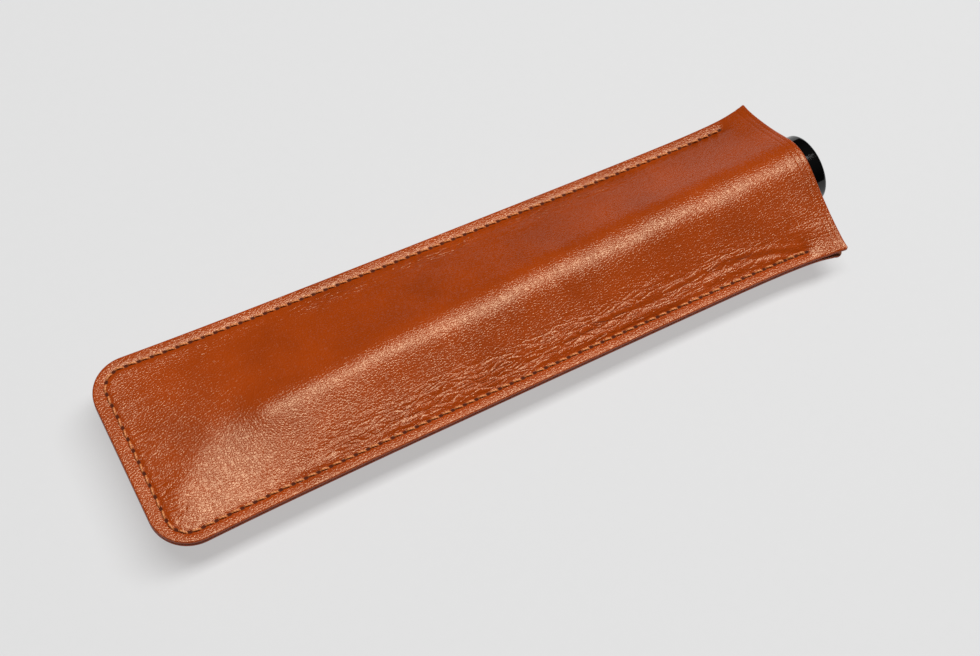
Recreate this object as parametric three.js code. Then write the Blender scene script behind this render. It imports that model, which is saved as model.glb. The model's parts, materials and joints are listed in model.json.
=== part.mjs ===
// A sewn leather sleeve for one fountain pen, with the pen in it.
//
// Millimetres, +Z up. +X points out of the sleeve's mouth, and the pen slides out that way.
// The origin is under the middle of the whole object, on the surface that it lies on.
// The sleeve is two panels of leather sewn together round three sides. The pen lies level in
// it and holds the panels apart, so the sewn flange floats above the surface.

import * as THREE from 'three';
import { mergeVertices } from 'three/addons/utils/BufferGeometryUtils.js';

// Sleeve: plan
const SLEEVE_LENGTH = 175.6;
const PEN_PROUD = 4.3; // how far the cap stands out of the mouth
const HALF_WIDTH = 23.17; // half the width, before the flares and the taper
const TAPER = 0.009; // half width lost for each millimetre towards the mouth
const TOE_FLARE = { size: 1.2, reach: 25 };
const MOUTH_FLARE = { size: 2.05, reach: 9 };
const TOE_CORNER_R = 9.5;

// Sleeve: leather and seam
const LEATHER = 1.05;
const PLY_GAP = 0.2; // between the two panels along the flange
const SEAM_Z = 9.35; // middle of the flange at the mouth
const SEAM_TILT = 0.0117; // rise of the flange for each millimetre towards the toe
const CORNER_LIFT = { front: 1, back: 1.2 }; // how far the unsewn mouth corners part
const BASE_HALF_WIDTH = 5; // flat strip that the sleeve lies on
const BASE_START = 42; // distance from the toe where that strip starts

// Sleeve: stitching
const SIDE_INSET = 2.6;
const TOE_INSET = 3.3;
const STITCH_CORNER_R = 5;
const STITCH_PITCH = 3;
const STITCH = { width: 0.75, height: 0.4 };
const STITCH_PINCH = 0.3; // size of the thread where it enters the leather
const STITCH_GAP = 0.05; // between a stitch and the leather
const SEAM_MARGIN = 1; // flat leather inside the row of stitches
const UNSEWN = 9.6; // length left open at each side of the mouth
const OPEN_RIM = 1.2; // edge of a mouth corner that stays on the seam's own curve

// Pen: every station is a distance from the flat end of the cap towards the tail
const PEN_LENGTH = 151;
const PEN_CLEARANCE = 0.3; // between the pen and the leather
const TAIL_SLACK = 4; // how far the leather bridges past each step and the pen's tail
const PEN_YAW = THREE.MathUtils.degToRad(1.7);
const CAP_END_Y = 1.05;
const CAP_R = 8.8;
const CAP_LENGTH = 70;
const CAP_EDGE_R = 0.9;
const CAP_TOP = 3; // thickness of the cap's closed end
const BARREL_R = 8.3;
const TAIL_R = 5.2;
const TAIL_ROUND = 8; // length of the rounded tail
const FIT_GAP = 0.3; // between pieces of the pen that meet
const SECTION_FRONT = 42;
const SECTION_BACK = 64;
const SECTION_TENON = 74;
const WEB_START = 60; // the wall across the grip section, between feed and cartridge
const WEB_END = 61;
const NIB_TIP = 20;
const NIB_HEEL = 57;
const NIB_SHEET = 0.3;
const FEED_R = 2.5;
const CARTRIDGE_R = 3.7;
const LATHE_STEPS = 28;

// Places that follow from the dimensions above
const HALF_LENGTH = (SLEEVE_LENGTH + PEN_PROUD) / 2;
const TOE_X = -HALF_LENGTH;
const MOUTH_X = TOE_X + SLEEVE_LENGTH;
const CAP_END_X = HALF_LENGTH - (CAP_R - CAP_EDGE_R) * Math.sin(PEN_YAW);
const PEN_Z = CAP_R + PEN_CLEARANCE + LEATHER;
const FLANGE = LEATHER + PLY_GAP / 2; // outer face of the flange, from the middle of the seam
const SEWN_END = SLEEVE_LENGTH - UNSEWN;

const { sqrt, exp, sin, cos, PI, max, abs } = Math;

// Half the sleeve's width at a distance from the toe, with square toe corners.
function fullHalfWidth(fromToe) {
  const flare = TOE_FLARE.size * exp(-fromToe / TOE_FLARE.reach);
  const mouth = MOUTH_FLARE.size * exp((fromToe - SLEEVE_LENGTH) / MOUTH_FLARE.reach);
  return HALF_WIDTH - TAPER * fromToe + flare + mouth;
}

// What a round corner of radius r takes off the half width, at a distance into the corner.
function cornerLoss(into, r) {
  const short = max(r - into, 0);
  return r - sqrt(max(r * r - short * short, 0));
}

function outlineHalfWidth(fromToe) {
  return fullHalfWidth(fromToe) - cornerLoss(fromToe, TOE_CORNER_R);
}

// Half the width inside a line that runs round the sleeve at a distance inside the stitches.
// Nothing is inside it before its own toe end.
function insideStitches(fromToe, margin) {
  const into = fromToe - TOE_INSET - margin;
  if (into < 0) return 0;
  return fullHalfWidth(fromToe) - SIDE_INSET - margin - cornerLoss(into, STITCH_CORNER_R - margin);
}

// Half the width over which a panel can lift: between the seams, and from edge to edge past the
// last stitch.
function freeHalfWidth(fromToe) {
  if (fromToe > SEWN_END + 1) return fullHalfWidth(fromToe) - OPEN_RIM;
  return insideStitches(fromToe, SEAM_MARGIN);
}

const seamZ = (x) => SEAM_Z + SEAM_TILT * (MOUTH_X - x);
const penY = (x) => CAP_END_Y - (CAP_END_X - x) * Math.tan(PEN_YAW);

// The pen's outer radius at a station, or 0 past its tail.
function penRadius(station) {
  if (station <= CAP_LENGTH) return CAP_R;
  if (station >= PEN_LENGTH) return 0;
  const along = (station - CAP_LENGTH) / (PEN_LENGTH - CAP_LENGTH);
  const straight = BARREL_R + (TAIL_R - BARREL_R) * along * along;
  const past = max(station - (PEN_LENGTH - TAIL_ROUND), 0) / TAIL_ROUND;
  return straight * sqrt(1 - past * past);
}

// Height above the seam that the pen, or the flat base under it, pushes a panel's outer face to.
// side is 1 for the front panel and -1 for the back.
function heldHeight(x, y, side) {
  const skin = PEN_CLEARANCE + LEATHER;
  const station = CAP_END_X - x - TAIL_SLACK;
  const off = y - penY(x);
  const radius = penRadius(station) + skin;
  let height = -Infinity;
  if (station < PEN_LENGTH && abs(off) < radius) {
    height = side * (PEN_Z - seamZ(x)) + sqrt(radius * radius - off * off);
  }
  if (side < 0 && x - TOE_X > BASE_START && abs(off) <= BASE_HALF_WIDTH) {
    height = seamZ(x);
  }
  return height;
}

// How far a panel lifts off the seam at the open corners of the mouth.
function cornerLift(x, side) {
  const past = max(x - TOE_X - SEWN_END, 0) / UNSEWN;
  return (side > 0 ? CORNER_LIFT.front : CORNER_LIFT.back) * past * past;
}

// The height of a panel's outer face above the seam, as taut leather takes it. Along the flange
// it is flat. Inside the stitches every point settles to the mean of its four neighbours, unless
// the pen holds it higher. The mouth's edge is free.
function settledLeather(side) {
  const step = 1.25;
  const passes = 900;
  const overRelax = 1.85;
  const columns = Math.ceil(SLEEVE_LENGTH / step) + 1;
  const halfRows = Math.ceil(fullHalfWidth(0) / step) + 1;
  const rows = 2 * halfRows + 1;
  const xAt = (i) => TOE_X + i * step;
  const yAt = (j) => (j - halfRows) * step;
  const height = new Float64Array(columns * rows);
  const held = new Float64Array(columns * rows);
  const sewn = new Uint8Array(columns * rows);
  for (let i = 0; i < columns; i++) {
    const half = freeHalfWidth(i * step);
    for (let j = 0; j < rows; j++) {
      const k = i * rows + j;
      held[k] = heldHeight(xAt(i), yAt(j), side);
      height[k] = FLANGE + cornerLift(xAt(i), side);
      sewn[k] = abs(yAt(j)) >= half ? 1 : 0;
    }
  }
  for (let pass = 0; pass < passes; pass++) {
    for (let i = 1; i < columns; i++) {
      const next = i === columns - 1 ? i - 1 : i + 1;
      for (let j = 1; j < rows - 1; j++) {
        const k = i * rows + j;
        if (sewn[k]) continue;
        const mean = (height[k - rows] + height[next * rows + j] + height[k - 1] + height[k + 1]) / 4;
        height[k] = max(height[k] + overRelax * (mean - height[k]), held[k]);
      }
    }
  }
  return (x, y) => {
    if (abs(y) >= freeHalfWidth(x - TOE_X)) return FLANGE + cornerLift(x, side);
    const u = THREE.MathUtils.clamp((x - TOE_X) / step, 0, columns - 1.001);
    const v = THREE.MathUtils.clamp(y / step + halfRows, 0, rows - 1.001);
    const i = Math.floor(u);
    const j = Math.floor(v);
    const k = i * rows + j;
    const low = THREE.MathUtils.lerp(height[k], height[k + 1], v - j);
    const high = THREE.MathUtils.lerp(height[k + rows], height[k + rows + 1], v - j);
    return THREE.MathUtils.lerp(low, high, u - i);
  };
}

// Distances from the toe of the panel mesh's rows: close together round the toe's corners, and
// with a row where the stitching ends.
function panelStations() {
  const bodyRows = 26;
  const mouthRows = 3;
  const freeStart = TOE_INSET + SEAM_MARGIN;
  const freeCorner = STITCH_CORNER_R - SEAM_MARGIN;
  const stations = [0, 0.05, 0.2, 0.5].map((part) => part * TOE_CORNER_R * 0.8);
  for (const degrees of [0, 30, 60]) {
    stations.push(freeStart + freeCorner * (1 - cos(THREE.MathUtils.degToRad(degrees))));
  }
  for (let i = 0; i < bodyRows; i++) {
    stations.push(THREE.MathUtils.lerp(freeStart + freeCorner, SEWN_END, i / bodyRows));
  }
  for (let i = 0; i <= mouthRows; i++) {
    stations.push(THREE.MathUtils.lerp(SEWN_END, SLEEVE_LENGTH, i / mouthRows));
  }
  return stations;
}

// Places across a panel at one station: its two edges, and an even spread between the seams.
function panelPlaces(station) {
  const inner = 14;
  const edge = outlineHalfWidth(station);
  const free = insideStitches(max(station, TOE_INSET + SEAM_MARGIN), SEAM_MARGIN);
  const seam = Math.min(free, edge - SEAM_MARGIN);
  const places = [-edge];
  for (let j = 0; j <= inner; j++) places.push(seam * (2 * j / inner - 1));
  places.push(edge);
  return places;
}

// A closed shell between two sheets of points on one grid. upper lies above lower.
function shellBetween(upper, lower, rows, columns) {
  const count = rows * columns;
  const index = [];
  const quad = (a, b, c, d) => index.push(a, b, c, a, c, d);
  for (let i = 0; i < rows - 1; i++) {
    for (let j = 0; j < columns - 1; j++) {
      const k = i * columns + j;
      quad(k, k + columns, k + columns + 1, k + 1);
      quad(count + k, count + k + 1, count + k + columns + 1, count + k + columns);
    }
  }
  const rim = [];
  for (let i = 0; i < rows - 1; i++) rim.push(i * columns);
  for (let j = 0; j < columns - 1; j++) rim.push((rows - 1) * columns + j);
  for (let i = rows - 1; i > 0; i--) rim.push(i * columns + columns - 1);
  for (let j = columns - 1; j > 0; j--) rim.push(j);
  rim.forEach((a, n) => {
    const b = rim[(n + 1) % rim.length];
    quad(b, a, count + a, count + b);
  });
  const geometry = new THREE.BufferGeometry();
  geometry.setAttribute('position', new THREE.Float32BufferAttribute([...upper, ...lower], 3));
  geometry.setIndex(index);
  return geometry;
}

// One panel of leather: its outer face as settledLeather gives it, and one thickness behind.
function panelGeometry(side) {
  const heightAt = settledLeather(side);
  const stations = panelStations();
  const columns = panelPlaces(0).length;
  const reach = 0.8; // distance over which the slope is measured
  const outer = [];
  const inner = [];
  for (const station of stations) {
    const x = TOE_X + station;
    for (const y of panelPlaces(station)) {
      const sewn = abs(y) >= freeHalfWidth(station);
      const slopeX = sewn ? 0 : (heightAt(x + reach, y) - heightAt(x - reach, y)) / (2 * reach);
      const slopeY = sewn ? 0 : (heightAt(x, y + reach) - heightAt(x, y - reach)) / (2 * reach);
      const height = heightAt(x, y);
      const thickness = LEATHER * sqrt(1 + slopeX * slopeX + slopeY * slopeY);
      outer.push(x, y, max(seamZ(x) + side * height, 0));
      inner.push(x, y, seamZ(x) + side * (height - thickness));
    }
  }
  const [upper, lower] = side > 0 ? [outer, inner] : [inner, outer];
  return shellBetween(upper, lower, stations.length, columns);
}

// The row of stitches in plan, as one curve: from the mouth down one side, round the toe and
// back up the other side.
function stitchPath() {
  const points = [];
  const sideSteps = 60;
  const arcSteps = 8;
  const start = TOE_INSET + STITCH_CORNER_R;
  for (let i = 0; i <= sideSteps; i++) {
    const station = THREE.MathUtils.lerp(SEWN_END, start, i / sideSteps);
    points.push([TOE_X + station, -insideStitches(station, 0)]);
  }
  for (let i = 1; i <= arcSteps; i++) {
    const angle = (PI / 2) * (i / arcSteps);
    const x = TOE_X + start - STITCH_CORNER_R * sin(angle);
    points.push([x, -fullHalfWidth(start) + SIDE_INSET + STITCH_CORNER_R * (1 - cos(angle))]);
  }
  const mirrored = points.map(([x, y]) => [x, -y]).reverse();
  const path = new THREE.CurvePath();
  const all = [...points, ...mirrored].map(([x, y]) => new THREE.Vector3(x, y, 0));
  for (let i = 0; i < all.length - 1; i++) path.add(new THREE.LineCurve3(all[i], all[i + 1]));
  return path;
}

// The thread on one face of the flange, as one bead: full at the middle of each stitch and
// pinched where it goes down through the leather. Its section is a triangle lying on the flange.
function threadGeometry(side) {
  const path = stitchPath();
  const count = Math.floor(path.getLength() / STITCH_PITCH);
  const rings = 2 * count + 1;
  const positions = [];
  for (let n = 0; n < rings; n++) {
    const size = n % 2 === 1 ? 1 : STITCH_PINCH;
    const place = path.getPointAt(n / (rings - 1));
    const along = path.getTangentAt(n / (rings - 1));
    const halfWidth = (STITCH.width / 2) * size;
    const foot = seamZ(place.x) + side * (FLANGE + STITCH_GAP);
    const crest = foot + side * STITCH.height * size;
    positions.push(place.x - along.y * halfWidth, place.y + along.x * halfWidth, foot);
    positions.push(place.x + along.y * halfWidth, place.y - along.x * halfWidth, foot);
    positions.push(place.x, place.y, crest);
  }
  const index = [];
  const face = (a, b, c) => index.push(...(side > 0 ? [a, c, b] : [a, b, c]));
  for (let n = 0; n < rings - 1; n++) {
    for (let k = 0; k < 3; k++) {
      const a = 3 * n + k;
      const b = 3 * n + ((k + 1) % 3);
      face(a, b, b + 3);
      face(a, b + 3, a + 3);
    }
  }
  const last = 3 * (rings - 1);
  face(0, 2, 1);
  face(last, last + 1, last + 2);
  const geometry = new THREE.BufferGeometry();
  geometry.setAttribute('position', new THREE.Float32BufferAttribute(positions, 3));
  geometry.setIndex(index);
  return geometry;
}

// A turned piece of the pen. Its profile is a list of [station, radius] that runs along the
// outside towards the cap's end and along the inside towards the tail.
function turned(profile) {
  const points = profile.map(([station, radius]) => new THREE.Vector2(radius, -station));
  const geometry = new THREE.LatheGeometry(points, LATHE_STEPS);
  geometry.rotateZ(-PI / 2);
  geometry.deleteAttribute('normal');
  geometry.deleteAttribute('uv');
  return mergeVertices(geometry, 1e-4);
}

// The cap: a plain tube with a flat closed end, wider inside where it screws on the barrel.
function capGeometry() {
  const boreR = 6.9;
  const threadR = 7.6;
  const threadStart = SECTION_FRONT + 2;
  const edge = [0, 30, 60, 90].map((degrees) => {
    const angle = THREE.MathUtils.degToRad(degrees);
    return [CAP_EDGE_R * (1 - sin(angle)), CAP_R - CAP_EDGE_R * (1 - cos(angle))];
  });
  return turned([
    [CAP_TOP, 0], [CAP_TOP, boreR], [threadStart, boreR], [threadStart, threadR],
    [CAP_LENGTH, threadR], [CAP_LENGTH, CAP_R], ...edge, [0, 0],
  ]);
}

// The inner cap: a liner that closes round the nib and seals on the front of the grip.
function innerCapGeometry() {
  const outerR = 6.6;
  const boreR = 5.6;
  const wall = 1.2;
  const end = CAP_TOP + FIT_GAP;
  const mouth = SECTION_FRONT - FIT_GAP;
  return turned([
    [end + wall, 0], [end + wall, boreR], [mouth, boreR], [mouth, outerR], [end, outerR], [end, 0],
  ]);
}

// The barrel: a round tail, a long taper and the threaded neck that the cap screws on. Its bore
// is open at the neck.
function barrelGeometry() {
  const neckR = 7.2;
  const shoulder = CAP_LENGTH + FIT_GAP;
  const sectionBoreR = 5.4;
  const boreR = 4.4;
  const boreStep = 104;
  const boreEnd = 138;
  const tail = [1, 0.97, 0.87, 0.7, 0.4, 0].map((part) => PEN_LENGTH - TAIL_ROUND * (1 - part));
  const outside = [...tail, 132, 116, 100, 84, shoulder];
  return turned([
    ...outside.map((station) => [station, penRadius(station)]),
    [shoulder, neckR], [SECTION_BACK, neckR], [SECTION_BACK, sectionBoreR],
    [boreStep, sectionBoreR], [boreStep, boreR], [boreEnd, boreR], [boreEnd, 0],
  ]);
}

// The grip section: a waisted tube with a small lip in front and a tenon that screws into the
// barrel. The feed and nib push into its front, and the cartridge pushes into its back.
function sectionGeometry() {
  const tenonR = 5;
  const frontBoreR = 3.45;
  const backBoreR = CARTRIDGE_R + FIT_GAP;
  const inkHoleR = 1.2;
  const shoulder = SECTION_BACK - FIT_GAP;
  return turned([
    [SECTION_TENON, backBoreR], [SECTION_TENON, tenonR], [shoulder, tenonR], [shoulder, 6.2],
    [58, 5.9], [51, 5.1], [46, 4.9], [43.4, 5.2], [SECTION_FRONT + 0.4, 5.3],
    [SECTION_FRONT, 5], [SECTION_FRONT, frontBoreR], [WEB_START, frontBoreR],
    [WEB_START, inkHoleR], [WEB_END, inkHoleR], [WEB_END, backBoreR], [SECTION_TENON, backBoreR],
  ]);
}

// The feed: a round bar behind, drawn down to a slim nose under the nib.
function feedGeometry() {
  const back = WEB_START - FIT_GAP;
  return turned([
    [back, 0], [back, FEED_R], [SECTION_FRONT, FEED_R], [36, 2], [26, 0.9], [24, 0.4], [24, 0],
  ]);
}

// The ink cartridge: its narrow neck sits on the web inside the grip section.
function cartridgeGeometry() {
  const neckR = 2.2;
  const neck = WEB_END + FIT_GAP;
  const back = 99;
  return turned([
    [back, 0], [back, CARTRIDGE_R - 0.6], [back - 0.8, CARTRIDGE_R], [neck + 4.5, CARTRIDGE_R],
    [neck + 3, neckR], [neck, neckR], [neck, 0],
  ]);
}

// The nib: sheet metal rolled round the feed, widest at its shoulders and pointed in front.
function nibGeometry() {
  const rollR = 3.15;
  const rolledHalfWidth = 2.7;
  const shoulderHalfWidth = 3.7;
  const shoulderAt = 37;
  const tipHalfWidth = 0.4;
  const rows = 13;
  const columns = 9;
  const upper = [];
  const lower = [];
  for (let i = 0; i < rows; i++) {
    const station = THREE.MathUtils.lerp(NIB_HEEL, NIB_TIP, i / (rows - 1));
    const out = max(SECTION_FRONT - station, 0);
    const radius = rollR + 0.15 * out;
    const crown = rollR - 0.085 * out;
    const toShoulder = THREE.MathUtils.clamp((station - NIB_TIP) / (shoulderAt - NIB_TIP), 0, 1);
    const pastShoulder = THREE.MathUtils.smoothstep(station, shoulderAt, SECTION_FRONT);
    const half = THREE.MathUtils.lerp(tipHalfWidth, shoulderHalfWidth, sin((PI / 2) * toShoulder))
      - (shoulderHalfWidth - rolledHalfWidth) * pastShoulder;
    for (let j = 0; j < columns; j++) {
      const y = half * (2 * j / (columns - 1) - 1);
      const z = crown - radius + sqrt(radius * radius - y * y);
      upper.push(-station, y, z);
      lower.push(-station, y, z - NIB_SHEET);
    }
  }
  return shellBetween(upper, lower, rows, columns);
}

// Colours and finishes
const finishes = {
  leather: { color: 0xb5561f, roughness: 0.42, metalness: 0 },
  thread: { color: 0xc9743a, roughness: 0.8, metalness: 0 },
  blackResin: { color: 0x0a0a0b, roughness: 0.08, metalness: 0 },
  blackPlastic: { color: 0x18181a, roughness: 0.45, metalness: 0 },
  gold: { color: 0xd8b25a, roughness: 0.22, metalness: 1 },
  cartridgePlastic: { color: 0x2a3f86, roughness: 0.3, metalness: 0 },
};

function named(name, geometry, finish) {
  const mesh = new THREE.Mesh(geometry, new THREE.MeshStandardMaterial(finishes[finish]));
  mesh.name = name;
  return mesh;
}

const sleeve = new THREE.Group();
sleeve.add(
  named('front_panel', panelGeometry(1), 'leather'),
  named('back_panel', panelGeometry(-1), 'leather'),
  named('needle_thread', threadGeometry(1), 'thread'),
  named('bobbin_thread', threadGeometry(-1), 'thread'),
);

const pen = new THREE.Group();
pen.position.set(CAP_END_X, CAP_END_Y, PEN_Z);
pen.rotation.z = PEN_YAW;
pen.add(
  named('cap', capGeometry(), 'blackResin'),
  named('inner_cap', innerCapGeometry(), 'blackPlastic'),
  named('barrel', barrelGeometry(), 'blackResin'),
  named('grip_section', sectionGeometry(), 'blackResin'),
  named('feed', feedGeometry(), 'blackPlastic'),
  named('nib', nibGeometry(), 'gold'),
  named('ink_cartridge', cartridgeGeometry(), 'cartridgePlastic'),
);

const group = new THREE.Group();
group.add(sleeve, pen);
export default group;
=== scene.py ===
"""A sewn leather sleeve for one fountain pen, with the pen in it, lying on a pale floor.

Every shape is a surface worked out on a grid with numpy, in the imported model's own frame: +Z up
and +X out of the sleeve's mouth. Sizes are in millimetres, and MM turns them to metres where they
reach a mesh or a material. The lights' and the floor's sizes are metres from the start.
"""
import json
import math

import bpy
import numpy as np
from mathutils import Matrix, Vector


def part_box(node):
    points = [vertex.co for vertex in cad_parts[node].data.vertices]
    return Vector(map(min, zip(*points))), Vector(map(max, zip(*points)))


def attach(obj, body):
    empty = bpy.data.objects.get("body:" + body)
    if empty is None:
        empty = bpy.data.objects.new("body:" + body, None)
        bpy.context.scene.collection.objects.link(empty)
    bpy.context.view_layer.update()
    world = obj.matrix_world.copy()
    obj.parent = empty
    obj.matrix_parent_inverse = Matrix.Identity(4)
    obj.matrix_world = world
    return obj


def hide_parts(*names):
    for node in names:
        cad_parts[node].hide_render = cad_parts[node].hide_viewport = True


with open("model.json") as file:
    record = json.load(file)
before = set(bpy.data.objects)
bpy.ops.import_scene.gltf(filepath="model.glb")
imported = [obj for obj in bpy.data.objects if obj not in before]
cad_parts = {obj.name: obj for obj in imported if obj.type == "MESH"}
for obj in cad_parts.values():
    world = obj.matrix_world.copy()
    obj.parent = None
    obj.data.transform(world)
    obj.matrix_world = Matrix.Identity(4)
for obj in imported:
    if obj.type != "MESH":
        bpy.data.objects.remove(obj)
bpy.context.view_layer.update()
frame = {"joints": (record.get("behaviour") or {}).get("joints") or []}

MM = 0.001


# ---------------------------------------------------------------- camera

AIM = Vector((-2.74, -5.23, 11.53)) * MM
VIEW_AZIMUTH = math.radians(-36.15)
VIEW_ELEVATION = math.radians(60.6)
VIEW_ROLL = math.radians(8.91)
VIEW_DISTANCE = 369 * MM
LENS_MM, FILM_WIDTH_MM = 59.2, 36
NEAREST_SEEN = 10 * MM


def camera():
    """Stands on a sphere round the aim point, looks at its middle, then rolls about its own axis."""
    flat = math.cos(VIEW_ELEVATION)
    away_x, away_y = math.sin(VIEW_AZIMUTH) * flat, -math.cos(VIEW_AZIMUTH) * flat
    back = Vector((away_x, away_y, math.sin(VIEW_ELEVATION)))
    right = (-back).cross(Vector((0, 0, 1))).normalized()
    up = right.cross(-back)
    turned_right = math.cos(VIEW_ROLL) * right + math.sin(VIEW_ROLL) * up
    turned_up = math.cos(VIEW_ROLL) * up - math.sin(VIEW_ROLL) * right
    data = bpy.data.cameras.new("camera")
    data.lens = LENS_MM
    data.sensor_width = FILM_WIDTH_MM
    data.clip_start = NEAREST_SEEN
    view = bpy.data.objects.new("camera", data)
    bpy.context.scene.collection.objects.link(view)
    turn = Matrix((turned_right, turned_up, back)).transposed().to_4x4()
    view.matrix_world = Matrix.Translation(AIM + back * VIEW_DISTANCE) @ turn
    bpy.context.scene.camera = view


camera()


# ---------------------------------------------------------------- sizes

def frame_box_mm(node):
    """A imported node's lowest and highest corners in millimetres."""
    low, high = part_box(node)
    return np.array(low) / MM, np.array(high) / MM


PANEL_LOW, PANEL_HIGH = frame_box_mm("front_panel")
CAP_LOW, CAP_HIGH = frame_box_mm("cap")
TOE_X = PANEL_LOW[0]
MOUTH_X = PANEL_HIGH[0]
SLEEVE_LENGTH = MOUTH_X - TOE_X
PEN_AXIS = np.array([j["axis"] for j in frame["joints"] if j["name"] == "pen_slide"][0])

# Plan of the sleeve
HALF_WIDTH = 23.17
TAPER = 0.009
TOE_FLARE, TOE_FLARE_REACH = 1.2, 25
MOUTH_FLARE, MOUTH_FLARE_REACH = 2.05, 9
TOE_CORNER_R = 9.5

# Leather and seam. The sides are open over the last stretch at the mouth, UNSEWN long. A value for
# each panel is for the front one at 1 and the back one at -1
LEATHER = 1.05
PLY_GAP = 0.2
FLANGE = LEATHER + PLY_GAP / 2
SEAM_Z, SEAM_TILT = 9.35, 0.0117
UNSEWN = 9.6
SEWN_END = SLEEVE_LENGTH - UNSEWN
CORNER_LIFT = {1: 1.0, -1: 1.2}
BASE_HALF_WIDTH = 5
BASE_START = 42
EDGE_ROUND, INNER_EDGE_SHARE = 0.34, 0.4
MOUTH_ROUND = {1: 0.5, -1: 2.0}

# The two tooled lines: distances in from the mouth, depth, reach, and the band that holds them
TOOLED_LINES = (1.25, 2.75)
TOOLED_DEPTH, TOOLED_REACH, TOOLED_WIDTH = 0.13, 0.22, 5.0

# A panel's grid: columns and rows of its middle
INNER_COLUMNS = 72
BODY_ROWS, TOOLED_ROWS = 325, 26

# How the leather is settled: passes of the sum, how far each overshoots, passes of the blur and
# how far it may sink into what holds the leather, then the toe's own blur and where it fades out
PASSES, OVER_RELAX = 700, 1.93
STIFF_PASSES, SINK = 6, 0.12
TOE_STIFF_PASSES = 28
TOE_STIFF_REACH = (30, 62)

# Creases that run from the pen's tail to the toe corners: their start, bend and end as (from the
# toe, y), and their height above the seam at both ends
TOE_CREASES = (
    ((36, -0.8), (16, -0.5), (6.5, -15), 5.4, 1.7),
    ((32, 0.4), (20, 2.5), (7.5, 13), 4.9, 1.3),
)
TOE_CREASE_R = 5

# The deep fold beside the near seam: its distances from the toe, and inside the stitches there,
# where it rises and fades, then height and reach of its valley, its strip and its roll
FOLD_STATIONS = (60, 90, 110, 125, 143, 151, 158, 163, 166)
FOLD_INSIDE = (2.4, 2.6, 3.0, 3.3, 4.0, 3.4, 2.1, 0.7, 0.1)
FOLD_RISE, FOLD_FADE = (70, 132), (164, 170)
VALLEY_DEPTH, VALLEY_REACH = 0.30, 0.42
STRIP_HEIGHT, STRIP_REACH, STRIP_OUT = 0.20, 1.0, 1.5
ROLL_HEIGHT, ROLL_REACH, ROLL_IN = 0.16, 0.8, 1.0

# Relief along the seam: the channel, the pit at each hole and the puff between two holes, and how
# far before and past the last stitch it fades
CHANNEL_DEPTH, CHANNEL_REACH = 0.13, 0.75
PIT_DEPTH, PIT_ACROSS, PIT_ALONG = 0.25, 0.42, 0.55
PUFF_HEIGHT, PUFF_REACH, PUFF_IN, PUFF_GAP = 0.12, 0.55, 1.15, 0.8
SEAM_END_FADE = (-0.2, 1.2)

# Wrinkles: length and spacing of the long and the fine ones beside the seams, how far inside the
# stitches their band lies and reaches, where along the sleeve they rise and fade, and heights
LONG_WRINKLE, FINE_WRINKLE = (13, 1.5), (6, 0.75)
WRINKLES_IN, WRINKLES_REACH = 3.2, 3.4
WRINKLES_RISE, WRINKLES_FADE = (18, 70), (150, 172)
WRINKLE_HEIGHT, NEAR_WRINKLE_HEIGHT, FAR_WRINKLE_HEIGHT = 0.04, 0.09, 0.08
WANDER = 1.1
PUCKER_HEIGHT, PUCKER_WIDTH, PUCKER_LENGTH = 0.05, 1.6, 6
WIDE_DENT, SMALL_DENT = (17, 10), (7, 6)
WIDE_DENT_HEIGHT, SMALL_DENT_HEIGHT = 0.16, 0.07
MOUTH_CREASE_HEIGHT, MOUTH_CREASE = 0.035, (0.9, 7)

# Creased finish: length and width of its plates beside the sides and at the toe, in millimetres,
# where the toe's ones end, and how strong it is beside the far seam
PLATE_LENGTH, PLATE_WIDTH = 4.2, 0.95
TOE_PLATE_LENGTH, TOE_PLATE_WIDTH = 5, 1.5
TOE_PLATES_END = 10.5
FAR_PLATES = 0.85

# The first seed of each set of random fields, whose others count on from it
FRONT_SEED, BACK_SEED = 10, 50
FOLD_SEED, MOUTH_SEED, PLATE_SEED = 91, 77, 33

# Stitching: the row's place, the thread, and each stitch's shape as parts of the pitch or in
# millimetres. A backtack is sewn over the seam's first and last stitches
SIDE_INSET = 2.6
TOE_INSET = 3.3
STITCH_CORNER_R = 5
STITCH_PITCH = 3.0
SEAM_MARGIN = 0.9
THREAD_D = 0.54
STITCH_RINGS, STITCH_SIDES = 9, 6
STITCH_SLANT = 0.32
STITCH_START, STITCH_SPAN = 0.13, 0.74
STITCH_SINK, STITCH_ARCH = 0.55, 0.84
BACKTACK, BACKTACK_LIFT = 3, 0.28
TWIST_LENGTH = 0.55

# Pen: stations are distances from the flat end of the cap towards the tail, and bores are radii.
# The leather is held out as though the pen lay nearer the toe by TAIL_SLACK
PEN_LENGTH = 151
PEN_CLEARANCE = 0.3
TAIL_SLACK = 4
CAP_R = (CAP_HIGH[2] - CAP_LOW[2]) / 2
CAP_LENGTH = 70
CAP_EDGE_R = 0.9
CAP_TOP = 3
CAP_BORE, CAP_LINER_BORE, INNER_CAP_BORE = 7.6, 6.9, 5.6
BARREL_R = 8.3
TAIL_R = 5.2
TAIL_ROUND = 8
NECK_R = 7.2
TENON_BORE, CARTRIDGE_BORE, BORE_CHAMFER = 5.4, 4.4, 0.4
BORE_STEP, BORE_END = 104, 138
FIT_GAP = 0.3
SCREW_PITCH, SCREW_DEPTH, SCREW_STEP, SCREW_FADE = 1.5, 0.28, 0.12, 0.8
AROUND = 96

# Grip section: its waist as (station, radius, rounding), then the radii of its collar, its tenon,
# the feed's bore and the ink's hole through the web
SECTION_FRONT, SECTION_BACK, SECTION_TENON = 42, 64, 74
WEB_START, WEB_END = 60, 61
WAIST = [(58, 5.9, 3), (51, 5.1, 3), (46, 4.9, 2), (43.4, 5.2, 0.6), (42.4, 5.3, 0.4)]
LIP_R, COLLAR_R = 5.0, 6.2
TENON_R, TENON_INSIDE_R = 5.0, 4.0
FEED_BORE, INK_HOLE = 3.45, 1.2

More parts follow.
